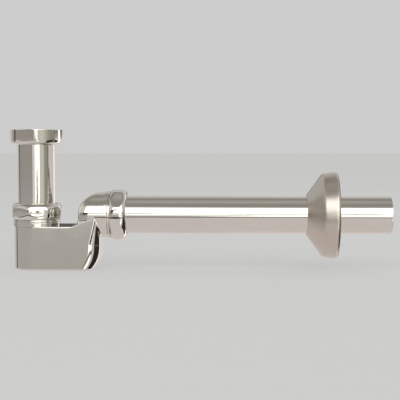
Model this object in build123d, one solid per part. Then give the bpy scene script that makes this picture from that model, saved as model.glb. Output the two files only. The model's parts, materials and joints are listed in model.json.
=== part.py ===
from build123d import *
import math
import os

# Low-profile lavatory P trap in polished nickel, millimetres.
#
# A cast body with a flat floor holds the water seal. A short inlet tube drops
# into its threaded inlet spigot and carries a union nut on top for the basin
# waste. A long wall tube leaves its threaded outlet spigot, and a coned wall
# flange slides on it. Both tubes are sealed by slip nuts, each with a friction
# ring and a tapered rubber washer.
#
# Frame: +Z is up along the inlet axis, +X points along the wall tube towards
# the wall, and the origin is the centre of the union nut's open mouth.
# Threads are plain cylinders at their pitch radius.

# ---------------------------------------------------------------- dimensions
TUBE_R = 31.75 / 2              # 1-1/4 inch tube
TUBE_WALL = 1.2
TUBE_BORE_R = TUBE_R - TUBE_WALL

OUTLET_Z = -72.0                # outlet axis, below the inlet mouth
FLOOR_Z = -118.0                # flat underside of the body
ROOF_Z = -81.0                  # top of the water chamber
WALL_END_X = 300.0              # free end of the wall tube
WALL_TUBE_START_X = 60.0
INLET_TUBE_END_Z = -98.0

BODY_R = 18.9                   # half width of the body, and radius of its elbow and neck
BODY_WALL = 2.8
COLLAR_R = 19.9                 # turned ring at the foot of each spigot
INLET_COLLAR_LEN = 4.6
OUTLET_COLLAR_LEN = 4.0
SPIGOT_R = 18.65
SPIGOT_LEN = 10.0
SOCKET_R = 16.1                 # bore that a tube slides in
SEAT_R = 17.9                   # mouth of the conical washer seat
SEAT_DEPTH = 3.2

ELBOW_X = 55.6                  # centre of the elbow's outer arc
NECK_END_X = 59.6               # where the outlet neck meets its collar
RISER_FILLET = 5.0              # between the chamber roof and the riser
HEEL_CORNER_R = 9.4             # soft upright corners of the heel and the riser
EDGE_FILLET = 1.6               # lower edge of the casting
BAFFLE_X = 18.6                 # outlet side of the wall between inlet leg and chamber
BAFFLE_LIP_Z = -106.0           # lower lip of that wall, the dip of the water seal
DIP_HALF_WIDTH = 13.0           # passage under that lip

NUT_FLATS = 42.0
NUT_SIDES = 8
NUT_EDGE_R = 1.5                # soft edges between the faces
NUT_BARREL_R = 22.4             # turned outside of the nut blank
NUT_BORE_R = 18.75
NUT_EYE_R = 16.2                # hole for the tube in a nut's shoulder
SLIP_NUT_LEN = 13.6
SLIP_NUT_SHOULDER = 2.4
SLIP_NUT_MOUTH = (19.4, 4.0)    # radius at the open end, length of its rounding
SLIP_NUT_DOME = (17.0, 5.0)     # the same at the tube's end
UNION_NUT_LEN = 12.7
UNION_NUT_SHOULDER = 2.2
UNION_NUT_MOUTH = (21.6, 0.9)
UNION_NUT_DOME = (17.0, 5.0)
UNION_THREAD_LEN = 6.2
UNION_RELIEF_R = 19.1

INLET_NUT_GAP = 0.6             # thread left showing between a collar and its nut
OUTLET_NUT_GAP = 0.4
SEAL_GAP = 0.05                 # between stacked rings
RING_THICK = 1.0                # friction ring
RING_CLEAR = 0.12               # friction and thrust rings on the tube
RING_OUTER_R = 18.4
WASHER_CLEAR = 0.08             # washer in its seat
GRIP_CLEAR = 0.06               # rubber on the tube
COLLAR_THICK = 1.5              # brazed ring at the top of the inlet tube
COLLAR_OUTER_R = 18.6
COLLAR_BRAZE = 0.02
THRUST_THICK = 1.0
UNION_WASHER_THICK = 1.6

FLANGE_START_X = 229.4          # small end of the wall flange
FLANGE_SHOULDER_X = 242.3       # where its cone meets its band
FLANGE_BACK_X = 254.8           # back face, against the wall
FLANGE_HUB_X = 235.6            # inner end of its hub
FLANGE_NOSE_R = 17.2
FLANGE_SHOULDER_R = 34.9
FLANGE_BACK_R = 36.8
FLANGE_WALL = 1.8
FLANGE_BORE_R = 16.2
GRIP_RING_X = 232.7             # rubber ring that grips the tube
GRIP_SECTION_R = 0.95
GRIP_GROOVE_R = 17.95
GRIP_GROOVE_LEN = 2.6
MARK_X = 250.0                  # shallow ring that marks how far the tube goes into the wall
MARK_LEN = 0.8
MARK_DEPTH = 0.25

# ------------------------------------------------------------- derived places
ARC_SHARE = 1 - math.sqrt(0.5)  # how far a quarter arc's middle stands in from its corner, in radii
INLET_COLLAR_TOP_Z = ROOF_Z + INLET_COLLAR_LEN
OUTLET_COLLAR_END_X = NECK_END_X + OUTLET_COLLAR_LEN

# A joint's local frame has +Z along its own axis, with 0 at the nut's open end.
OUTLET_AXIS = Location((0, 0, OUTLET_Z), (0, 90, 0))
INLET_JOINT = Location((0, 0, INLET_COLLAR_TOP_Z + INLET_NUT_GAP), (0, 0, 13))
OUTLET_JOINT = OUTLET_AXIS * Location((0, 0, OUTLET_COLLAR_END_X + OUTLET_NUT_GAP), (0, 0, 3))
UNION_JOINT = Location((0, 0, 0), (180, 0, 11))


# ------------------------------------------------------------------- helpers
def revolved(points):
    """A solid turned about Z from (radius, height) points."""
    return revolve(make_face(Polyline(*[(r, 0, z) for r, z in points], close=True)), Axis.Z)


def ring(inner_r, outer_r, low, high):
    """A plain ring about Z."""
    return revolved([(inner_r, low), (outer_r, low), (outer_r, high), (inner_r, high)])


def rod(r, low, high):
    """A plain cylinder about Z."""
    return Pos(0, 0, low) * Cylinder(r, high - low, align=(Align.CENTER, Align.CENTER, Align.MIN))


def quarter_round(start, end, corner):
    """An elliptical quarter arc between two points, bulging towards the corner of their box."""
    middle = [c + (s - c) * ARC_SHARE + (e - c) * ARC_SHARE for s, e, c in zip(start, end, corner)]
    return ThreePointArc(start, tuple(middle), end)


# ------------------------------------------------------------------ the nuts
def nut_blank(length, mouth, dome):
    """An octagonal nut's outside about Z, with its open end at 0 and both ends rounded."""
    mouth_r, mouth_rise = mouth
    dome_r, dome_rise = dome
    top = length - dome_rise
    outline = [
        Line((0, 0), (mouth_r, 0)),
        quarter_round((mouth_r, 0), (NUT_BARREL_R, mouth_rise), (NUT_BARREL_R, 0)),
        Line((NUT_BARREL_R, mouth_rise), (NUT_BARREL_R, top)),
        quarter_round((NUT_BARREL_R, top), (dome_r, length), (NUT_BARREL_R, length)),
        Line((dome_r, length), (0, length)),
        Line((0, length), (0, 0)),
    ]
    turned = revolve(Plane.XZ * make_face(Wire(outline)), Axis.Z)
    octagon = RegularPolygon(NUT_FLATS / 2, NUT_SIDES, major_radius=False)
    octagon = fillet(octagon.vertices(), NUT_EDGE_R)
    return turned & extrude(octagon, length)


def slip_nut():
    """Slip nut: its thread opens at 0 and its eye for the tube is at the far end."""
    blank = nut_blank(SLIP_NUT_LEN, SLIP_NUT_MOUTH, SLIP_NUT_DOME)
    thread = rod(NUT_BORE_R, -1, SLIP_NUT_LEN - SLIP_NUT_SHOULDER)
    return blank - thread - rod(NUT_EYE_R, 0, SLIP_NUT_LEN + 1)


def union_nut():
    """Union nut: the basin waste screws in at 0 and the inlet tube hangs through its far end."""
    blank = nut_blank(UNION_NUT_LEN, UNION_NUT_MOUTH, UNION_NUT_DOME)
    thread = rod(NUT_BORE_R, -1, UNION_THREAD_LEN)
    relief = rod(UNION_RELIEF_R, UNION_THREAD_LEN, UNION_NUT_LEN - UNION_NUT_SHOULDER)
    return blank - thread - relief - rod(NUT_EYE_R, 0, UNION_NUT_LEN + 1)


# ----------------------------------------------------------------- the seals
def ring_height():
    """Underside of the friction ring, in a joint's frame."""
    return SLIP_NUT_LEN - SLIP_NUT_SHOULDER - SEAL_GAP - RING_THICK


def friction_ring():
    """Hard ring between a slip nut's shoulder and its washer."""
    return ring(TUBE_R + RING_CLEAR, RING_OUTER_R, ring_height(), ring_height() + RING_THICK)


def slip_washer(mouth):
    """Tapered rubber washer, seated in a spigot whose mouth is at the given height."""
    inner = TUBE_R + GRIP_CLEAR
    low = mouth - SEAT_DEPTH + 0.2
    taper = (SEAT_R - SOCKET_R) / SEAT_DEPTH
    back = ring_height() - SEAL_GAP
    return revolved(
        [
            (inner, low),
            (SEAT_R - (mouth - low) * taper - WASHER_CLEAR, low),
            (SEAT_R - WASHER_CLEAR, mouth),
            (SEAT_R - WASHER_CLEAR, mouth + SEAL_GAP),
            (RING_OUTER_R, mouth + SEAL_GAP),
            (RING_OUTER_R, back),
            (inner, back),
        ]
    )


def grip_ring():
    """Round rubber ring in the wall flange's hub, about Z."""
    centre_r = TUBE_R + GRIP_CLEAR + GRIP_SECTION_R
    return revolve(Plane.XZ * Pos(centre_r, GRIP_RING_X) * Circle(GRIP_SECTION_R), Axis.Z)


# ----------------------------------------------------------------- the tubes
def tube(start, end):
    """A plain tube about Z."""
    return ring(TUBE_BORE_R, TUBE_R, start, end)


def union_stack():
    """Inlet tube with its brazed collar, thrust ring and washer, placed inside the union nut."""
    thrust_far = UNION_NUT_LEN - UNION_NUT_SHOULDER - SEAL_GAP
    thrust_near = thrust_far - THRUST_THICK
    collar_far = thrust_near - SEAL_GAP
    collar_near = collar_far - COLLAR_THICK
    washer_near = collar_near - UNION_WASHER_THICK
    outer_r = COLLAR_OUTER_R
    return {
        "union_thrust_ring": UNION_JOINT * ring(TUBE_R + RING_CLEAR, outer_r, thrust_near, thrust_far),
        "inlet_tube_collar": UNION_JOINT * ring(TUBE_R + COLLAR_BRAZE, outer_r, collar_near, collar_far),
        "union_washer": UNION_JOINT * ring(TUBE_BORE_R, outer_r, washer_near, collar_near),
        "inlet_tube": tube(INLET_TUBE_END_Z, -collar_near),
    }


def wall_tube():
    """Long plain tube about Z, with its depth mark."""
    mark = ring(TUBE_R - MARK_DEPTH, TUBE_R + 1, MARK_X, MARK_X + MARK_LEN)
    return tube(WALL_TUBE_START_X, WALL_END_X) - mark


def wall_flange():
    """Hub, cone and band about Z, with a groove for the grip ring."""
    slope = (FLANGE_SHOULDER_R - FLANGE_NOSE_R) / (FLANGE_SHOULDER_X - FLANGE_START_X)
    shift = FLANGE_WALL * math.sqrt(1 + 1 / slope**2)
    hub_r = FLANGE_NOSE_R + (FLANGE_HUB_X - FLANGE_START_X - shift) * slope
    inner_r = FLANGE_SHOULDER_R - FLANGE_WALL
    inner_x = FLANGE_START_X + shift + (inner_r - FLANGE_NOSE_R) / slope
    shell = revolved(
        [
            (FLANGE_BORE_R, FLANGE_START_X),
            (FLANGE_NOSE_R, FLANGE_START_X),
            (FLANGE_SHOULDER_R, FLANGE_SHOULDER_X),
            (FLANGE_BACK_R, FLANGE_BACK_X),
            (FLANGE_BACK_R - FLANGE_WALL, FLANGE_BACK_X),
            (inner_r, inner_x),
            (hub_r, FLANGE_HUB_X),
            (FLANGE_BORE_R, FLANGE_HUB_X),
        ]
    )
    half = GRIP_GROOVE_LEN / 2
    return shell - ring(FLANGE_BORE_R - 1, GRIP_GROOVE_R, GRIP_RING_X - half, GRIP_RING_X + half)


# ------------------------------------------------------------------ the body
def plan_outline(height, heel_x, inset):
    """Plan of the casting at one height: round inlet end, flat sides, soft corners at the heel."""
    r = BODY_R - inset
    end = heel_x - inset
    corner = HEEL_CORNER_R - inset
    cut = corner * ARC_SHARE
    near_turn = ThreePointArc((end - corner, -r), (end - cut, -r + cut), (end, -r + corner))
    far_turn = ThreePointArc((end, r - corner), (end - cut, r - cut), (end - corner, r))
    sides = [
        ThreePointArc((0, r), (-r, 0), (0, -r)),
        Line((0, -r), (end - corner, -r)),
        near_turn,
        Line((end, -r + corner), (end, r - corner)),
        far_turn,
        Line((end - corner, r), (0, r)),
    ]
    return Pos(0, 0, height) * make_face(Wire(sides))


def flat_sided_block(inset):
    """The casting's plan from floor to outlet axis, its heel leaning out as it rises."""
    levels = [
        (FLOOR_Z + inset, 48.8),
        (FLOOR_Z + 7, 53.0),
        (FLOOR_Z + 14, 55.2),
        (FLOOR_Z + 22, ELBOW_X),
        (OUTLET_Z, ELBOW_X),
    ]
    return loft([plan_outline(*level, inset) for level in levels])


def riser_column(inset):
    """Upright column that bounds the riser and the neck, with soft corners on its inlet side."""
    left = ELBOW_X - BODY_R + inset
    length = NECK_END_X - left
    base = Pos(left + length / 2, 0, FLOOR_Z) * Rectangle(length, 2 * (BODY_R - inset))
    base = fillet(base.vertices().sort_by(Axis.X)[:2], HEEL_CORNER_R - inset)
    return extrude(base, -FLOOR_Z)


def elbow_limit(inset):
    """Everything inside the elbow's outer arc, drawn out across the casting."""
    r = BODY_R - inset
    left = ELBOW_X - r
    top = OUTLET_Z + r
    outline = [
        Line((left, FLOOR_Z), (left, OUTLET_Z)),
        ThreePointArc((left, OUTLET_Z), (left + r * ARC_SHARE, top - r * ARC_SHARE), (ELBOW_X, top)),
        Line((ELBOW_X, top), (NECK_END_X, top)),
        Line((NECK_END_X, top), (NECK_END_X, FLOOR_Z)),
        Line((NECK_END_X, FLOOR_Z), (left, FLOOR_Z)),
    ]
    return extrude(Plane.XZ * make_face(Wire(outline)), amount=BODY_R + 5, both=True)


def riser_fillet():
    """Concave fillet round the foot of the riser, from the chamber roof up to the riser's face."""
    left = ELBOW_X - BODY_R
    far = left - RISER_FILLET
    high = ROOF_Z + RISER_FILLET
    middle = (left - RISER_FILLET * ARC_SHARE, ROOF_Z + RISER_FILLET * ARC_SHARE)
    section = [
        ThreePointArc((far, ROOF_Z), middle, (left, high)),
        Line((left, high), (left + 1, high)),
        Line((left + 1, high), (left + 1, ROOF_Z - 1)),
        Line((left + 1, ROOF_Z - 1), (far, ROOF_Z - 1)),
        Line((far, ROOF_Z - 1), (far, ROOF_Z)),
    ]
    section = Plane.XZ * make_face(Wire(section))
    straight_half = BODY_R - HEEL_CORNER_R
    foot = extrude(section, amount=straight_half, both=True)
    centre_x = left + HEEL_CORNER_R
    for side in (-1, 1):
        quarter = revolve(Pos(-centre_x, 0, 0) * section, Axis.Z, -side * 90)
        foot = foot + Pos(centre_x, side * straight_half, 0) * quarter
    return foot & Box(200, 2 * BODY_R, 400)


def casting_form(inset):
    """The casting's form, drawn in from its outside by the inset: chamber, riser, elbow and neck."""
    block = flat_sided_block(inset)
    upright = (Align.CENTER, Align.CENTER, Align.MIN)
    under_roof = Pos(0, 0, FLOOR_Z) * Box(200, 100, ROOF_Z - inset - FLOOR_Z, align=upright)
    neck = OUTLET_AXIS * rod(BODY_R - inset, ELBOW_X - BODY_R, NECK_END_X)
    riser = (block + neck) & riser_column(inset) & elbow_limit(inset)
    return (block & under_roof) + riser


def waterway():
    """Inlet leg, dip passage, chamber, riser and elbow bore, as one solid."""
    floor = FLOOR_Z + BODY_WALL
    leg = rod(SOCKET_R + 0.15, floor, ROOF_Z)
    upright = (Align.CENTER, Align.CENTER, Align.MIN)
    dip = Box(BAFFLE_X + 4, 2 * DIP_HALF_WIDTH, BAFFLE_LIP_Z - floor, align=upright)
    dip = Pos(BAFFLE_X / 2, 0, floor) * dip
    beyond = Pos(BAFFLE_X, 0, FLOOR_Z) * Box(60, 60, 80, align=(Align.MIN, Align.CENTER, Align.MIN))
    return (casting_form(BODY_WALL) & beyond) + leg + dip


def spigot(collar_len):
    """Collar and threaded spigot about Z, standing on the casting's face."""
    return rod(COLLAR_R, 0, collar_len) + rod(SPIGOT_R, collar_len, collar_len + SPIGOT_LEN)


def spigot_bore(collar_len):
    """Socket and conical washer seat of a spigot."""
    mouth = collar_len + SPIGOT_LEN
    seat = revolved([(0, mouth - SEAT_DEPTH), (SOCKET_R, mouth - SEAT_DEPTH), (SEAT_R, mouth), (0, mouth)])
    return rod(SOCKET_R, -BODY_WALL - 1, mouth) + seat


def trap_body():
    """One casting: the flat-sided form, its two spigots and the waterway through it."""
    inlet = Pos(0, 0, ROOF_Z)
    outlet = OUTLET_AXIS * Pos(0, 0, NECK_END_X)
    form = casting_form(0) + riser_fillet()
    form = fillet(form.faces().sort_by(Axis.Z)[0].edges(), EDGE_FILLET)
    form = form + inlet * spigot(INLET_COLLAR_LEN) + outlet * spigot(OUTLET_COLLAR_LEN)
    form = form - inlet * spigot_bore(INLET_COLLAR_LEN) - outlet * spigot_bore(OUTLET_COLLAR_LEN)
    return form - waterway()


# --------------------------------------------------------------------- build
def pieces():
    """Every piece in its place, by name."""
    slip_joints = [
        ("inlet", INLET_JOINT, INLET_NUT_GAP),
        ("outlet", OUTLET_JOINT, OUTLET_NUT_GAP),
    ]
    made = {"trap_body": trap_body()}
    for name, place, gap in slip_joints:
        made[name + "_slip_nut"] = place * slip_nut()
        made[name + "_friction_ring"] = place * friction_ring()
        made[name + "_slip_washer"] = place * slip_washer(SPIGOT_LEN - gap)
    made["union_nut"] = UNION_JOINT * union_nut()
    made.update(union_stack())
    made["wall_tube"] = OUTLET_AXIS * wall_tube()
    made["wall_flange"] = OUTLET_AXIS * wall_flange()
    made["flange_grip_ring"] = OUTLET_AXIS * grip_ring()
    return made


os.makedirs("parts", exist_ok=True)
for name, piece in pieces().items():
    export_step(piece, os.path.join("parts", name + ".step"))
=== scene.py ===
import json
import math

import bpy
import numpy as np
from mathutils import Matrix, Vector


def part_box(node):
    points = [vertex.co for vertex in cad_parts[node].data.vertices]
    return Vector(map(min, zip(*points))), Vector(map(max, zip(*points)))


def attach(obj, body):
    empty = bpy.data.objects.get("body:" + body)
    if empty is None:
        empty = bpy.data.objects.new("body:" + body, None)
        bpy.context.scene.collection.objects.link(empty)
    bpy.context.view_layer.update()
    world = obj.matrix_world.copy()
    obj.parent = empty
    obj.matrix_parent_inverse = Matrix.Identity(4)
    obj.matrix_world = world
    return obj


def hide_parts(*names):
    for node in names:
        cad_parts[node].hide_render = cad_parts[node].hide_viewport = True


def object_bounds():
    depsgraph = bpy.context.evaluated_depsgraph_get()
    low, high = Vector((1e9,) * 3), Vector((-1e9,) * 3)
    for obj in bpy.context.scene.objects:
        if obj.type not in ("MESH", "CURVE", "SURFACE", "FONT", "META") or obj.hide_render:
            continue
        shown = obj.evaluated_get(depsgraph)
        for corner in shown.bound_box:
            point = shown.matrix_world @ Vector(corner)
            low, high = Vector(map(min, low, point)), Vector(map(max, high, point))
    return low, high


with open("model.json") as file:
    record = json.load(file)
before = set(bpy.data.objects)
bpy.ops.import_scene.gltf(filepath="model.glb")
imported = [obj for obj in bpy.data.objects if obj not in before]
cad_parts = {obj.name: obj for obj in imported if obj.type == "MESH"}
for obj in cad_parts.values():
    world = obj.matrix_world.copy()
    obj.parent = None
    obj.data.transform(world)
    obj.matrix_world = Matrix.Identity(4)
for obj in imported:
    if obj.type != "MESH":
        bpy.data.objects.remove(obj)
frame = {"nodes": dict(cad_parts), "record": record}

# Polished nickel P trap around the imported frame. Shapes are worked out in
# millimetres and turned into metres as each mesh is made.
MM = 0.001
CAD_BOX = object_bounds()


# --------------------------------------------------------- sizes from the frame
def corners_mm(node):
    """Lowest and highest corners of a CAD node, in millimetres."""
    low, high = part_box(node)
    return low / MM, high / MM


def pitch_mm():
    """Thread pitch, from the coupling between a nut's turn and its travel."""
    return frame["record"]["behaviour"]["couplings"][0]["ratio"] * 2 * math.pi / MM


BODY_LOW, BODY_HIGH = corners_mm("trap_body")
WALL_TUBE_LOW, WALL_TUBE_HIGH = corners_mm("wall_tube")
INLET_TUBE_LOW, INLET_TUBE_HIGH = corners_mm("inlet_tube")
INLET_NUT_LOW = corners_mm("inlet_slip_nut")[0]
OUTLET_NUT_LOW = corners_mm("outlet_slip_nut")[0]
FLANGE_LOW, FLANGE_HIGH = corners_mm("wall_flange")

AXIS_Z = (WALL_TUBE_LOW.z + WALL_TUBE_HIGH.z) / 2        # height of the wall tube's axis
TUBE_R = (WALL_TUBE_HIGH.z - WALL_TUBE_LOW.z) / 2
TUBE_BORE_R = TUBE_R - 1.2
PITCH = pitch_mm()

# The casting and its spigots, with heights counted from the wall tube's axis.
BODY_R = 18.9               # half width of the body, and radius of its elbow and neck
BODY_WALL = 2.8
FLOOR = BODY_LOW.z - AXIS_Z
ROOF = -9.0                 # top of the water chamber
ELBOW_X = 55.6
NECK_END_X = 59.6
BAFFLE_X = 18.6             # outlet side of the wall between inlet leg and chamber
BAFFLE_LIP = -34.0          # lower lip of that wall
DIP_HALF_WIDTH = 13.0       # passage under the lip
SOCKET_R = 16.1             # bore that a tube slides in
SEAT_R = 17.9               # mouth of the washer seat
SEAT_DEPTH = 3.2
SPIGOT_R = 18.65            # crests of the outside thread
SPIGOT_LEN = 10.0
COLLAR_R = (BODY_HIGH.y - BODY_LOW.y) / 2
INLET_COLLAR_LEN = 4.6
OUTLET_COLLAR_LEN = 4.0
THREAD_SWING = 0.2          # of the spigot's thread, either side of its middle
THREAD_TOLERANCE = 0.02     # how near a threaded radius a point counts as on it

NUT_FLATS = 42.0            # distance across the flats
NUT_SIDES = 8
NUT_BARREL_R = 21.9         # turned outside of the nut blank
NUT_BORE_R = 18.75          # middle of the inside thread
NUT_BORE_SWING = 0.28       # of the inside thread, either side of its middle
NUT_EYE_R = 16.2            # hole for the tube in a nut's shoulder
NUT_DOME = (17.0, 7.2)      # radius at a slip nut's tube end, length of its rounding
NUT_MOUTH = (19.2, 5.6)     # the same at its open end


# ------------------------------------------------------------------ mesh making
def mesh_object(name, points, faces, body, material, crease=38):
    """A mesh piece from points in millimetres, smooth except along edges sharper than the crease angle."""
    mesh = bpy.data.meshes.new(name)
    mesh.from_pydata((np.asarray(points) * MM).tolist(), [], faces)
    mesh.update()
    mesh.shade_smooth()
    mesh.set_sharp_from_angle(angle=math.radians(crease))
    piece = bpy.data.objects.new(name, mesh)
    bpy.context.scene.collection.objects.link(piece)
    mesh.materials.append(material)
    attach(piece, body)
    return piece


def along(points, step):
    """The closed outline with every stretch longer than the step divided evenly."""
    out = []
    for start, end in zip(points, points[1:] + points[:1]):
        count = max(1, math.ceil(math.dist(start, end) / step))
        out += [tuple(s + (e - s) * i / count for s, e in zip(start, end)) for i in range(count)]
    return out


def rounded(corners, steps=5):
    """A closed outline from (radius, height, rounding) corners, each rounding drawn as a tangent arc."""
    out = []
    for i, (r, h, size) in enumerate(corners):
        here = Vector((r, h))
        if not size:
            out.append((r, h))
            continue
        before = (Vector(corners[i - 1][:2]) - here).normalized()
        after = (Vector(corners[(i + 1) % len(corners)][:2]) - here).normalized()
        half = before.angle(after) / 2
        centre = here + (before + after).normalized() * (size / math.sin(half))
        first = here + before * (size / math.tan(half)) - centre
        last = here + after * (size / math.tan(half)) - centre
        sweep = math.atan2(first.x * last.y - first.y * last.x, first.dot(last))
        for j in range(steps + 1):
            turn = Matrix.Rotation(sweep * j / steps, 2)
            out.append(tuple(centre + turn @ first))
    return out


def quarter(start, end, corner, steps=8):
    """An elliptical quarter arc from start to end, bulging towards the corner of their box."""
    out = []
    for j in range(steps + 1):
        a = math.pi / 2 * j / steps
        to_start = 1 - math.sin(a)
        to_end = 1 - math.cos(a)
        out.append(tuple(c + (s - c) * to_start + (e - c) * to_end for s, e, c in zip(start, end, corner)))
    return out


def turned(name, outline, place, body, material, columns=144, shape=None, angles=None, crease=38):
    """A piece turned about its own axis from a closed (radius, height) outline.

    place carries the local axis, +Z, to the frame. shape may change the radius by height and angle.
    """
    profile = np.array(outline)
    theta = np.arange(columns) * 2 * math.pi / columns if angles is None else angles
    columns = len(theta)
    radius, t = np.meshgrid(profile[:, 0], theta, indexing="ij")
    height = np.meshgrid(profile[:, 1], theta, indexing="ij")[0]
    if shape:
        radius = shape(radius, height, t)
    local = np.stack([radius * np.cos(t), radius * np.sin(t), height, np.ones_like(t)], -1)
    points = (local.reshape(-1, 4) @ np.array(place).T)[:, :3]
    rows = len(profile)
    area = sum(a[0] * b[1] - b[0] * a[1] for a, b in zip(outline, outline[1:] + outline[:1]))
    faces = []
    for i in range(rows):
        down = (i + 1) % rows
        for j in range(columns):
            right = (j + 1) % columns
            face = (i * columns + j, down * columns + j, down * columns + right, i * columns + right)
            faces.append(face if area < 0 else face[::-1])
    return mesh_object(name, points, faces, body, material, crease)


def upright(height):
    """Place of a piece on the inlet axis, its own zero at that height."""
    return Matrix.Translation((0, 0, height))


def sideways(x):
    """Place of a piece on the wall tube's axis, its own zero at that X."""
    return Matrix.Translation((x, 0, AXIS_Z)) @ Matrix.Rotation(math.pi / 2, 4, "Y")


def spun(degrees):
    """Turn of a nut about its own axis, from how its faces stand."""
    return Matrix.Rotation(math.radians(degrees), 4, "Z")


# -------------------------------------------------------------------- materials
class Nodes:
    """A material or world node tree, with short calls for the nodes used here."""

    def __init__(self, owner):
        owner.use_nodes = True
        self.tree = owner.node_tree
        self.tree.nodes.clear()

    def add(self, kind, settings=None, **inputs):
        node = self.tree.nodes.new(kind)
        for key, value in (settings or {}).items():
            setattr(node, key, value)
        for key, value in inputs.items():
            self.put(node, key.replace("_", " "), value)
        return node

    def put(self, node, key, value):
        socket = node.inputs[int(key) if key.isdigit() else key]
        if isinstance(value, bpy.types.NodeSocket):
            self.tree.links.new(value, socket)
        else:
            socket.default_value = value

    def math(self, operation, a, b=0.0):
        node = self.add("ShaderNodeMath", {"operation": operation})
        self.put(node, "0", a)
        self.put(node, "1", b)
        return node.outputs[0]

    def noise(self, vector, scale, detail=3.0, roughness=0.5):
        inputs = {"Vector": vector, "Scale": scale, "Detail": detail, "Roughness": roughness}
        return self.add("ShaderNodeTexNoise", **inputs).outputs["Fac"]

    def span(self, value, low, high, to_low, to_high, smooth=True):
        kind = "SMOOTHSTEP" if smooth else "LINEAR"
        node = self.add("ShaderNodeMapRange", {"interpolation_type": kind})
        ends = {"Value": value, "From Min": low, "From Max": high, "To Min": to_low, "To Max": to_high}
        for key, v in ends.items():
            self.put(node, key, v)
        return node.outputs["Result"]

    def blend(self, factor, a, b):
        node = self.add("ShaderNodeMix", {"data_type": "RGBA"})
        self.put(node, "0", factor)
        self.put(node, "6", a)
        self.put(node, "7", b)
        return node.outputs[2]

    def finish_surface(self, shader):
        out = self.add("ShaderNodeOutputMaterial")
        self.tree.links.new(shader.outputs[0], out.inputs["Surface"])


def nickel(name, color, tarnish, rough, swirl, centre, axis):
    """Bare or plated metal: patches of faint tarnish, brighter edges, smudges and polishing lines.

    swirl is the depth of the polishing lines in metres. They run round the axis through the centre.
    """
    line_scale = 2600.0
    patch_scale = 28.0
    smudge_scale = 95.0
    material = bpy.data.materials.new(name)
    n = Nodes(material)
    at = n.add("ShaderNodeTexCoord").outputs["Object"]
    shifted = n.add("ShaderNodeVectorMath", {"operation": "SUBTRACT"})
    n.put(shifted, "0", at)
    n.put(shifted, "1", centre)
    parts = n.add("ShaderNodeSeparateXYZ", Vector=shifted.outputs[0])
    run = parts.outputs[axis]
    others = [parts.outputs[a] for a in "XYZ" if a != axis]
    square = n.math("ADD", n.math("POWER", others[0], 2.0), n.math("POWER", others[1], 2.0))
    radius = n.math("SQRT", square)
    lines = n.add("ShaderNodeCombineXYZ", X=run, Y=radius, Z=n.math("MULTIPLY", others[0], 0.02))
    fine = n.noise(lines.outputs[0], line_scale, 2.0, 0.6)
    patches = n.noise(at, patch_scale, 4.0, 0.55)
    smudges = n.noise(at, smudge_scale, 5.0, 0.65)
    edges = n.add("ShaderNodeNewGeometry").outputs["Pointiness"]
    worn = n.span(edges, 0.52, 0.6, 0.0, 0.35)
    base = n.blend(n.span(patches, 0.35, 0.75, 0.0, 0.35), color, tarnish)
    base = n.blend(worn, base, tuple(min(1.0, c * 1.15) for c in color[:3]) + (1.0,))
    low, high = rough
    streaks = n.math("MULTIPLY", fine, (high - low) * 0.4)
    gloss = n.math("ADD", n.span(smudges, 0.4, 0.75, low, high), streaks)
    bump = n.add("ShaderNodeBump", Strength=1.0, Distance=swirl, Height=fine)
    shader = n.add("ShaderNodeBsdfPrincipled", Base_Color=base, Metallic=1.0, Roughness=gloss)
    n.put(shader, "Normal", bump.outputs[0])
    n.finish_surface(shader)
    return material


def moulded(name, color, dusty, rough, grain, scale):
    """Rubber or plastic: mottled colour, uneven gloss and a fine grain of the given depth in metres."""
    material = bpy.data.materials.new(name)
    n = Nodes(material)
    at = n.add("ShaderNodeTexCoord").outputs["Object"]
    mottle = n.noise(at, scale * 0.15, 4.0)
    grains = n.noise(at, scale, 3.0, 0.6)
    base = n.blend(n.span(mottle, 0.4, 0.7, 0.0, 0.6), color, dusty)
    gloss = n.span(mottle, 0.3, 0.7, rough[0], rough[1])
    bump = n.add("ShaderNodeBump", Strength=0.6, Distance=grain, Height=grains)
    shader = n.add("ShaderNodeBsdfPrincipled", Base_Color=base, Roughness=gloss)
    n.put(shader, "Normal", bump.outputs[0])
    n.finish_surface(shader)
    return material


INLET_AXIS = (0.0, 0.0, 0.0)
OUTLET_AXIS = (0.0, 0.0, AXIS_Z * MM)
NICKEL = (0.70, 0.68, 0.645, 1.0)
NICKEL_WARM = (0.65, 0.62, 0.58, 1.0)
SATIN = (0.6, 0.55, 0.505, 1.0)
SATIN_WARM = (0.53, 0.475, 0.43, 1.0)
BRASS = (0.45, 0.37, 0.26, 1.0)
BRASS_DULL = (0.3, 0.24, 0.17, 1.0)
BLACK = (0.018, 0.018, 0.019, 1.0)
BLACK_DUSTY = (0.05, 0.048, 0.045, 1.0)
WHITE = (0.8, 0.79, 0.74, 1.0)
WHITE_DUSTY = (0.7, 0.68, 0.6, 1.0)
GLOSS = (0.045, 0.1)        # lowest and highest roughness of the turned polished parts
polished_upright = nickel("polished_nickel_upright", NICKEL, NICKEL_WARM, GLOSS, 2e-7, INLET_AXIS, "Z")
polished_level = nickel("polished_nickel_level", NICKEL, NICKEL_WARM, GLOSS, 2e-7, OUTLET_AXIS, "X")
polished_cast = nickel("polished_nickel_cast", NICKEL, NICKEL_WARM, (0.05, 0.11), 1e-7, OUTLET_AXIS, "Y")
satin_level = nickel("satin_nickel_level", SATIN, SATIN_WARM, (0.26, 0.36), 3e-6, OUTLET_AXIS, "X")
bare_brass = nickel("bare_brass_bore", BRASS, BRASS_DULL, (0.5, 0.7), 5e-6, OUTLET_AXIS, "X")
rubber = moulded("black_rubber", BLACK, BLACK_DUSTY, (0.45, 0.7), 2e-5, 2500.0)
nylon = moulded("white_nylon", WHITE, WHITE_DUSTY, (0.3, 0.5), 1e-5, 1800.0)


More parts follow.
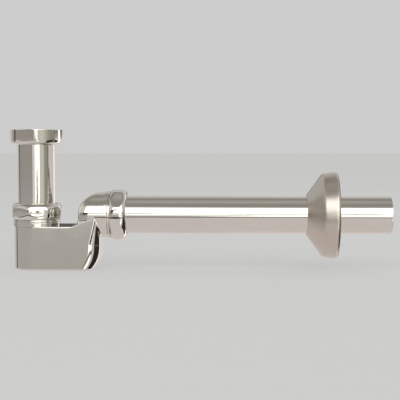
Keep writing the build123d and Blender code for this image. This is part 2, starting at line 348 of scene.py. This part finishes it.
# ------------------------------------------------------------------ the casting
def round_max(a, b, r):
    """Intersection of two signed distances with a rounded edge of radius r."""
    return np.minimum(-r, np.maximum(a, b)) + np.hypot(np.maximum(r + a, 0), np.maximum(r + b, 0))


def round_min(a, b, r):
    """Union of two signed distances with a fillet of radius r."""
    return np.maximum(r, np.minimum(a, b)) - np.hypot(np.maximum(r - a, 0), np.maximum(r - b, 0))


def heel_x(z):
    """X of the casting's outlet end at a height: upright below the neck, tucked in towards the floor."""
    start = -24.0
    tuck = 6.8
    power = 2.5
    drop = np.clip((start - z) / (start - FLOOR), 0, 1)
    return ELBOW_X - tuck * drop**power


def heel_corner(z):
    """Radius of the heel's upright corners: large low down, tighter where the side runs into the neck."""
    low = 9.4
    high = 4.4
    return high + (low - high) * np.clip((-z - 4) / 20, 0, 1)


def plan_distance(x, y, z, inset):
    """Distance from the casting's plan outline: round inlet end, flat sides, soft heel corners."""
    r = BODY_R - inset
    corner = heel_corner(z) - inset
    dx = x - (heel_x(z) - inset - corner)
    dy = np.abs(y) - (r - corner)
    heel = np.hypot(np.maximum(dx, 0), np.maximum(dy, 0)) + np.minimum(np.maximum(dx, dy), 0) - corner
    return np.where(x < 0, np.hypot(x, y) - r, heel)


def form_distance(x, y, z, inset):
    """Distance from the casting's form, drawn in by the inset: chamber, riser, elbow and neck."""
    r = BODY_R - inset
    squareness = 6.0
    back = np.maximum(ELBOW_X - x, 0)
    column = (back**squareness + np.abs(y) ** squareness) ** (1 / squareness)
    elbow = np.hypot(column, np.maximum(z, 0)) - r
    fillet = 5.5 + inset
    steps = round_min(z - (ROOF - inset), column - r, fillet)
    edge = 0.8 * np.clip((column - r) / 7, 0, 1) if not inset else 0.01
    block = round_max(plan_distance(x, y, z, inset), steps, edge)
    neck = np.maximum(np.hypot(y, z) - r, column - r)
    crook = 1.6 * np.clip((-z - 4) / 8, 0.001, 1)
    form = np.where(z > 0, elbow, round_min(block, neck, crook))
    form = np.maximum(form, x - (NECK_END_X + 0.3))
    return round_max(form, FLOOR + inset - z, 1.5 if not inset else 1.0)


def casting_distance(points):
    """Distance from the hollow casting, for points whose heights count from the wall tube's axis."""
    x, y, z = points[:, 0], points[:, 1], points[:, 2]
    floor = FLOOR + BODY_WALL
    leg = np.maximum(np.hypot(x, y) - (SOCKET_R + 0.15), floor - z)
    beyond = np.maximum(form_distance(x, y, z, BODY_WALL), BAFFLE_X - x)
    outlet = np.maximum(np.hypot(y, z) - SOCKET_R, ELBOW_X - x)
    middle = BAFFLE_X / 2
    dip_ends = np.abs(x - middle) - (middle + 2)
    dip_sides = np.abs(y) - DIP_HALF_WIDTH
    dip = np.maximum.reduce([dip_ends, dip_sides, floor - z, z - BAFFLE_LIP])
    hollow = np.minimum(np.minimum(leg, beyond), np.minimum(outlet, dip))
    return np.maximum(form_distance(x, y, z, 0.0), -hollow)


def gradient(distance, points, h=0.02):
    """Slope of a distance field at some points."""
    columns = []
    for axis in np.eye(3) * h:
        columns.append((distance(points + axis) - distance(points - axis)) / (2 * h))
    return np.stack(columns, -1)


def cells_crossed(inside):
    """Which cells of a grid have corners both inside and outside."""
    count = np.zeros([s - 1 for s in inside.shape], int)
    for shift in np.ndindex(2, 2, 2):
        window = tuple(slice(d, d + s - 1) for d, s in zip(shift, inside.shape))
        count += inside[window]
    return (count > 0) & (count < 8)


def quads_across(inside, number):
    """A quad round every grid edge that crosses the surface, from the numbered points of its four cells."""
    faces = []
    for axis in range(3):
        u, v = [a for a in range(3) if a != axis]
        here = np.delete(inside, -1, axis)
        there = np.delete(inside, 0, axis)
        for leaving in (False, True):
            edges = np.argwhere((here & ~there) if leaving else (~here & there))
            edges = edges[(edges[:, u] > 0) & (edges[:, v] > 0)]
            ring = []
            for du, dv in ((1, 1), (0, 1), (0, 0), (1, 0)):
                cells = edges.copy()
                cells[:, u] -= du
                cells[:, v] -= dv
                ring.append(number[tuple(cells.T)])
            quads = np.stack(ring, -1)
            if leaving == (axis == 1):
                quads = quads[:, ::-1]
            faces.append(quads)
    return np.concatenate(faces)


def surface_of(distance, low, high, cell):
    """Quads over the zero surface of a distance field, their corners drawn exactly onto it."""
    ticks = [np.arange(a, b + cell, cell) for a, b in zip(low, high)]
    grid = np.stack(np.meshgrid(*ticks, indexing="ij"), -1)
    inside = (distance(grid.reshape(-1, 3)) < 0).reshape(grid.shape[:3])
    crossed = cells_crossed(inside)
    number = np.full(crossed.shape, -1)
    number[crossed] = np.arange(crossed.sum())
    points = np.array(low) + (np.argwhere(crossed) + 0.5) * cell
    for _ in range(6):
        slope = gradient(distance, points)
        push = distance(points)[:, None] * slope / np.maximum((slope**2).sum(1, keepdims=True), 0.2)
        points = points - np.clip(push, -cell, cell)
    return points, quads_across(inside, number)


def casting():
    """The cast trap body, without its spigots, shaded by the slope of its distance field."""
    margin = 1.5
    reach = 0.12            # over which that slope is taken
    low = (-BODY_R - margin, -BODY_R - margin, FLOOR - margin)
    high = (NECK_END_X + margin, BODY_R + margin, BODY_R + margin)
    cell = 0.5
    points, faces = surface_of(casting_distance, low, high, cell)
    normals = gradient(casting_distance, points, reach)
    normals /= np.maximum(np.linalg.norm(normals, axis=1, keepdims=True), 1e-6)
    points[:, 2] += AXIS_Z
    faces = faces.tolist()
    piece = mesh_object("trap_casting", points, faces, "trap", polished_cast, 50)
    piece.data.normals_split_custom_set_from_vertices(normals.tolist())
    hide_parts("trap_body")
    return piece


# --------------------------------------------------------------- threaded parts
def thread_wave(height, angle):
    """Right-hand thread as a wave from -1 to 1, with flattened crests and roots."""
    steepness = 3.2
    phase = (height / PITCH - angle / (2 * math.pi)) % 1.0
    return np.clip(steepness * (np.abs(phase - 0.5) * 2 - 0.5), -1, 1)


def spigot(name, place, collar_len, bead):
    """Collar with a turned groove, threaded neck and washer seat, riding on the casting."""
    end = collar_len + SPIGOT_LEN
    foot = -0.3             # sunk a little into the casting
    groove = collar_len - bead
    core_r = SPIGOT_R - THREAD_SWING
    outline = rounded([
        (SOCKET_R, foot, 0),
        (COLLAR_R, foot, 0),
        (COLLAR_R, groove - 0.3, 0.5),
        (COLLAR_R - 0.55, groove, 0),
        (COLLAR_R - 0.15, groove + 0.3, 0.25),
        (COLLAR_R - 0.15, collar_len, 0.35),
        (core_r, collar_len, 0),
        (core_r, end, 0.3),
        (SEAT_R, end, 0),
        (SOCKET_R, end - SEAT_DEPTH, 0),
    ])
    step = PITCH / 9

    def shape(radius, height, angle):
        run = (np.abs(radius - core_r) < THREAD_TOLERANCE) & (height > collar_len)
        fade = np.clip((height - collar_len) / 1.2, 0, 1) * np.clip((end - height) / 0.6, 0, 1)
        return radius + run * fade * THREAD_SWING * thread_wave(height, angle)

    dense = along(outline, step)
    return turned(name, dense, place, "trap", polished_level, 128, shape)


def octagon_angles():
    """Angles round a nut, closer together at its edges."""
    per_face = 20
    t = np.linspace(-1, 1, per_face, endpoint=False)
    share = 1.4 * t - 0.4 * t**3
    half = math.pi / NUT_SIDES
    return np.concatenate([2 * half * face + half * share for face in range(NUT_SIDES)])


def smooth_min(a, b, k):
    """The smaller of two radii, blended over k."""
    h = np.clip(0.5 + 0.5 * (b - a) / k, 0, 1)
    return b * (1 - h) + a * h - k * h * (1 - h)


def with_thread_rings(outline, low, high):
    """A nut's outline with rings close enough for a thread in its bore between two heights."""
    near = 0.01
    kept = [p for p in outline if abs(p[0] - NUT_BORE_R) > near or not low < p[1] < high]
    at = next(i for i, p in enumerate(kept) if abs(p[0] - NUT_BORE_R) <= near and p[1] >= high - near)
    count = max(2, round((high - low) / (PITCH / 8)))
    run = [(NUT_BORE_R, high + (low - high) * i / count) for i in range(1, count)]
    return kept[:at + 1] + run + kept[at + 1:]


def nut(name, node, place, body, mouth, dome, length, bore):
    """An octagonal nut: flats cut on a turned blank, a threaded bore and an eye for the tube.

    mouth and dome are the radius at an end and the length of its rounding. bore lists the corners of the
    inside from the eye back to the mouth.
    """
    mouth_r, mouth_rise = mouth
    dome_r, dome_rise = dome
    top = length - dome_rise
    outside = quarter((mouth_r, 0), (NUT_BARREL_R, mouth_rise), (NUT_BARREL_R, 0))
    outside += quarter((NUT_BARREL_R, top), (dome_r, length), (NUT_BARREL_R, length), 12)
    inside = rounded([(dome_r, length, 0)] + bore + [(mouth_r, 0, 0)])[1:-1]
    thread_low = bore[-1][1]
    thread_high = max(h for r, h, _ in bore if r == NUT_BORE_R)
    outline = with_thread_rings(along(outside + inside, 0.9), thread_low, thread_high)
    half = math.pi / NUT_SIDES
    crown = 0.62            # below 1 the faces are slightly crowned
    edge = 1.0              # blend between the flats and the turned blank
    inside_r = NUT_EYE_R + 3.4

    def shape(radius, height, angle):
        flat = NUT_FLATS / 2 / np.cos((angle + half) % (2 * half) - half) ** crown
        cut = smooth_min(radius, flat, edge)
        outer = radius > inside_r
        fade_in = np.clip((height - thread_low) / 0.5, 0, 1)
        fade = np.clip((thread_high - height) / 0.8, 0, 1) * fade_in
        bored = np.abs(radius - NUT_BORE_R) < THREAD_TOLERANCE
        thread = bored * fade * NUT_BORE_SWING * thread_wave(height, angle)
        return np.where(outer, np.minimum(cut, radius), radius - thread)

    finish = polished_upright if place.col[2].z else polished_level
    angles = octagon_angles()
    piece = turned(name, outline, place, body, finish, shape=shape, angles=angles)
    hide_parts(node)
    return piece


def slip_nut(side, place):
    """The nut that squeezes the seal of the inlet or outlet tube."""
    length = 13.6
    floor = 11.2            # inner side of its shoulder
    bore = [(NUT_EYE_R, length, 0.4), (NUT_EYE_R, floor, 0.2), (NUT_BORE_R, floor, 0), (NUT_BORE_R, 0, 0.3)]
    body = side + "_nut"
    return nut(body, side + "_slip_nut", place, body, NUT_MOUTH, NUT_DOME, length, bore)


def union_nut(place):
    """The loose nut at the top of the inlet tube, its open mouth at the local zero."""
    length = 12.7
    floor = 10.5            # inner side of its shoulder
    thread = 6.2
    relief_r = 19.1
    mouth = (21.6, 0.9)
    dome = (17.0, 5.0)
    bore = [
        (NUT_EYE_R, length, 0.4), (NUT_EYE_R, floor, 0.2), (relief_r, floor, 0), (relief_r, thread, 0),
        (NUT_BORE_R, thread, 0), (NUT_BORE_R, 0, 0.4),
    ]
    return nut("union_nut_body", "union_nut", place, "union", mouth, dome, length, bore)


# ------------------------------------------------------------- tubes and flange
def tube(name, node, place, body, length, finish):
    """A drawn tube with softened ends."""
    soft = 0.35
    held = 0.9              # a ring this far from each end keeps the wall's shading straight
    corners = [
        (TUBE_BORE_R, held, 0), (TUBE_BORE_R, 0, soft),
        (TUBE_R, 0, soft), (TUBE_R, held, 0),
        (TUBE_R, length - held, 0), (TUBE_R, length, soft),
        (TUBE_BORE_R, length, soft), (TUBE_BORE_R, length - held, 0),
    ]
    piece = turned(name, along(rounded(corners), 12.0), place, body, finish, 160)
    piece.data.materials.append(bare_brass)
    for face in piece.data.polygons:
        inward = (face.center / MM - place.translation).cross(place.col[2].xyz).length < TUBE_BORE_R + 0.05
        face.material_index = int(inward)
    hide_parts(node)
    return piece


def flange():
    """Coned wall flange: hub, cone and band, all one spun shell."""
    start = FLANGE_LOW.x
    back = FLANGE_HIGH.x - start
    rim = (FLANGE_HIGH.z - FLANGE_LOW.z) / 2
    wall = 1.8
    hub_r = 16.2            # bore of the hub
    hub = 6.2               # and its length
    groove_r = 17.95        # for the grip ring
    groove_start = 2.0
    groove_end = 4.6
    corners = [
        (hub_r, 0, 0.25), (17.2, 0, 0.5), (34.9, 12.9, 2.0), (rim, back, 2.4),
        (rim - wall, back, 0.5), (33.1, 13.9, 1.2), (22.7, hub, 0.5), (hub_r, hub, 0.3),
        (hub_r, groove_end, 0), (groove_r, groove_end, 0),
        (groove_r, groove_start, 0), (hub_r, groove_start, 0),
    ]
    outline = along(rounded(corners, 7), 1.5)
    place = sideways(start)
    piece = turned("wall_flange_shell", outline, place, "flange", satin_level, 192)
    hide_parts("wall_flange")
    return piece


# ------------------------------------------------------------------------ stage
PALE = (0.604, 0.604, 0.604, 1.0)       # backdrop, as the camera sees it
ROOM = (0.62, 0.61, 0.59, 1.0)          # reflections between the studio's boxes and cards


def stage_floor():
    """Plain pale floor under the object, about as pale as the backdrop, to keep the horizon faint."""
    size = 30.0
    height = CAD_BOX[0][2] - 0.0003
    mesh = bpy.data.meshes.new("floor")
    corners = [(-size, -size, height), (size, -size, height), (size, size, height), (-size, size, height)]
    mesh.from_pydata(corners, [], [(0, 1, 2, 3)])
    floor = bpy.data.objects.new("floor", mesh)
    bpy.context.scene.collection.objects.link(floor)
    material = bpy.data.materials.new("pale_floor")
    n = Nodes(material)
    glow = n.add("ShaderNodeEmission", Color=PALE, Strength=0.755)
    paint = n.add("ShaderNodeBsdfDiffuse", Color=(0.16, 0.16, 0.16, 1.0))
    both = n.add("ShaderNodeAddShader")
    n.put(both, "0", glow.outputs[0])
    n.put(both, "1", paint.outputs[0])
    n.finish_surface(both)
    mesh.materials.append(material)
    floor.visible_glossy = False


# Soft boxes and dark cards of the studio round the object, seen only in its
# reflections: (azimuth from, to, elevation from, to, softness, colour), degrees.
# Azimuth 0 is in front, 90 is at the wall end. A later row covers an earlier one.
STUDIO = [
    (-180, 180, 50, 90, 10, (0.34, 0.335, 0.30)),
    (-180, 180, 78, 90, 10, (0.52, 0.49, 0.46)),
    (-180, 180, -90, -10.5, 1, (0.75, 0.70, 0.67)),
    (-128, -24, 11, 46, 5, (0.74, 0.74, 0.68)),
    (-128, -10, -4.5, 12, 4, (0.40, 0.375, 0.355)),
    (-128, -26, -10, -4.5, 4, (0.50, 0.485, 0.46)),
    (-26, 5, -10, -4, 1.5, (0.53, 0.52, 0.49)),
    (-12, 3, -3.2, 12, 1.2, (1.9, 1.9, 1.8)),
    (-1, 31, -8.5, 12, 2, (1.9, 1.9, 1.8)),
    (14, 34, -34, -8, 1.5, (1.7, 1.7, 1.6)),
    (34, 60, -16, 12, 12, (0.75, 0.75, 0.66)),
    (58, 84, -16, 12, 12, (0.34, 0.33, 0.27)),
    (-1, 34, -4.15, -3.2, 0.15, (0.52, 0.51, 0.46)),
    (-24, 60, 11, 47, 2.5, (2.3, 2.3, 2.25)),
    (83, 88, -16, 12, 1.5, (0.05, 0.05, 0.05)),
    (90, 180, -60, 26, 4, (0.80, 0.73, 0.70)),
    (95, 180, 0.8, 4, 0.3, (0.22, 0.20, 0.18)),
    (140, 152, -50, 20, 3, (1.6, 1.55, 1.5)),
    (59, 136, -50, -5.2, 0.8, (0.03, 0.03, 0.03)),
    (-117, -110, -16, 70, 1.2, (0.03, 0.03, 0.03)),
    (-80, 34, -12.5, -8.8, 0.5, (0.03, 0.03, 0.03)),
    (-34, -13, 3.5, 13.5, 0.8, (0.04, 0.04, 0.04)),
    (-14, -4.5, 9.5, 13.2, 1, (0.08, 0.08, 0.07)),
    (5.8, 9, 9.8, 12.8, 0.6, (0.08, 0.08, 0.07)),
    (-0.5, 9, 4.6, 7.2, 0.8, (0.12, 0.12, 0.11)),
    (150, 180, 1, 9, 1, (0.10, 0.10, 0.10)),
    (-180, -150, 1, 9, 1, (0.10, 0.10, 0.10)),
    (10.6, 17.5, -3.3, -1.2, 0.3, (0.05, 0.05, 0.05)),
    (-13.5, 1.4, -3.4, 1.2, 0.8, (0.85, 0.83, 0.78)),
]


def studio():
    """World that shows the metal the soft boxes and cards, and the camera a plain pale grey."""
    world = bpy.data.worlds.new("studio")
    bpy.context.scene.world = world
    n = Nodes(world)
    towards = n.add("ShaderNodeSeparateXYZ", Vector=n.add("ShaderNodeTexCoord").outputs["Generated"])
    x, y, z = towards.outputs
    degrees = 180 / math.pi
    azimuth = n.math("MULTIPLY", n.math("ARCTAN2", x, n.math("MULTIPLY", y, -1.0)), degrees)
    elevation = n.math("MULTIPLY", n.math("ARCSINE", z), degrees)
    color = ROOM
    for left, right, low, high, soft, glow in STUDIO:
        mask = n.math("MULTIPLY", n.span(elevation, low - soft, low + soft, 0.0, 1.0),
                      n.span(elevation, high - soft, high + soft, 1.0, 0.0))
        if right - left < 360:
            across = n.math("MULTIPLY", n.span(azimuth, left - soft, left + soft, 0.0, 1.0),
                            n.span(azimuth, right - soft, right + soft, 1.0, 0.0))
            mask = n.math("MULTIPLY", mask, across)
        color = n.blend(mask, color, glow + (1.0,))
    lit = n.add("ShaderNodeBackground", Color=color, Strength=1.0)
    plain = n.add("ShaderNodeBackground", Color=PALE, Strength=1.0)
    seen = n.add("ShaderNodeLightPath").outputs["Is Camera Ray"]
    mix = n.add("ShaderNodeMixShader")
    n.put(mix, "0", seen)
    n.put(mix, "1", lit.outputs[0])
    n.put(mix, "2", plain.outputs[0])
    out = n.add("ShaderNodeOutputWorld")
    n.tree.links.new(mix.outputs[0], out.inputs["Surface"])
    bpy.context.scene.view_settings.view_transform = "Standard"


def soft_light(name, place, target, size, power):
    """A large area light that lights the object and floor but isn't mirrored in the metal."""
    data = bpy.data.lights.new(name, "AREA")
    data.size = size
    data.energy = power
    lamp = bpy.data.objects.new(name, data)
    lamp.location = place
    lamp.rotation_euler = (Vector(target) - Vector(place)).to_track_quat("-Z", "Y").to_euler()
    lamp.visible_glossy = False
    bpy.context.scene.collection.objects.link(lamp)


def camera():
    """Long lens a little above the wall tube's axis, nearly square on to the trap."""
    middle = (139.3, 0.0, AXIS_Z + 12.6)
    stand = (168.8, -811.0, AXIS_Z + 55.0)
    focal_px, frame_px = 958.0, 400.0
    data = bpy.data.cameras.new("camera")
    data.lens = focal_px / frame_px * data.sensor_width
    seen = bpy.data.objects.new("camera", data)
    seen.location = Vector(stand) * MM
    seen.rotation_euler = (Vector(middle) - Vector(stand)).to_track_quat("-Z", "Y").to_euler()
    bpy.context.scene.collection.objects.link(seen)
    bpy.context.scene.camera = seen


# --------------------------------------------------------------------- assembly
camera()
studio()
stage_floor()
centre = tuple((a + b) / 2 for a, b in zip(*CAD_BOX))
soft_light("key", (-0.3, -1.1, 1.1), centre, 1.2, 6.0)
soft_light("fill", (0.9, 0.6, 1.0), centre, 1.2, 4.0)

casting()
spigot("inlet_spigot", upright(ROOF + AXIS_Z), INLET_COLLAR_LEN, 1.5)
spigot("outlet_spigot", sideways(NECK_END_X), OUTLET_COLLAR_LEN, 1.4)
slip_nut("inlet", upright(INLET_NUT_LOW.z) @ spun(13))
slip_nut("outlet", sideways(OUTLET_NUT_LOW.x) @ spun(3))
union_nut(Matrix.Rotation(math.pi, 4, "X") @ spun(11))
inlet_place = upright(INLET_TUBE_LOW.z)
inlet_length = INLET_TUBE_HIGH.z - INLET_TUBE_LOW.z
tube("inlet_tube_drawn", "inlet_tube", inlet_place, "inlet_pipe", inlet_length, polished_upright)
wall_place = sideways(WALL_TUBE_LOW.x)
wall_length = WALL_TUBE_HIGH.x - WALL_TUBE_LOW.x
tube("wall_tube_drawn", "wall_tube", wall_place, "wall_pipe", wall_length, polished_level)
flange()

CAD_FINISHES = {
    "inlet_tube_collar": polished_upright,
    "inlet_slip_washer": rubber,
    "outlet_slip_washer": rubber,
    "union_washer": rubber,
    "flange_grip_ring": rubber,
    "inlet_friction_ring": nylon,
    "outlet_friction_ring": nylon,
    "union_thrust_ring": nylon,
}
for node, finish in CAD_FINISHES.items():
    slots = frame["nodes"][node].data.materials
    slots.clear()
    slots.append(finish)
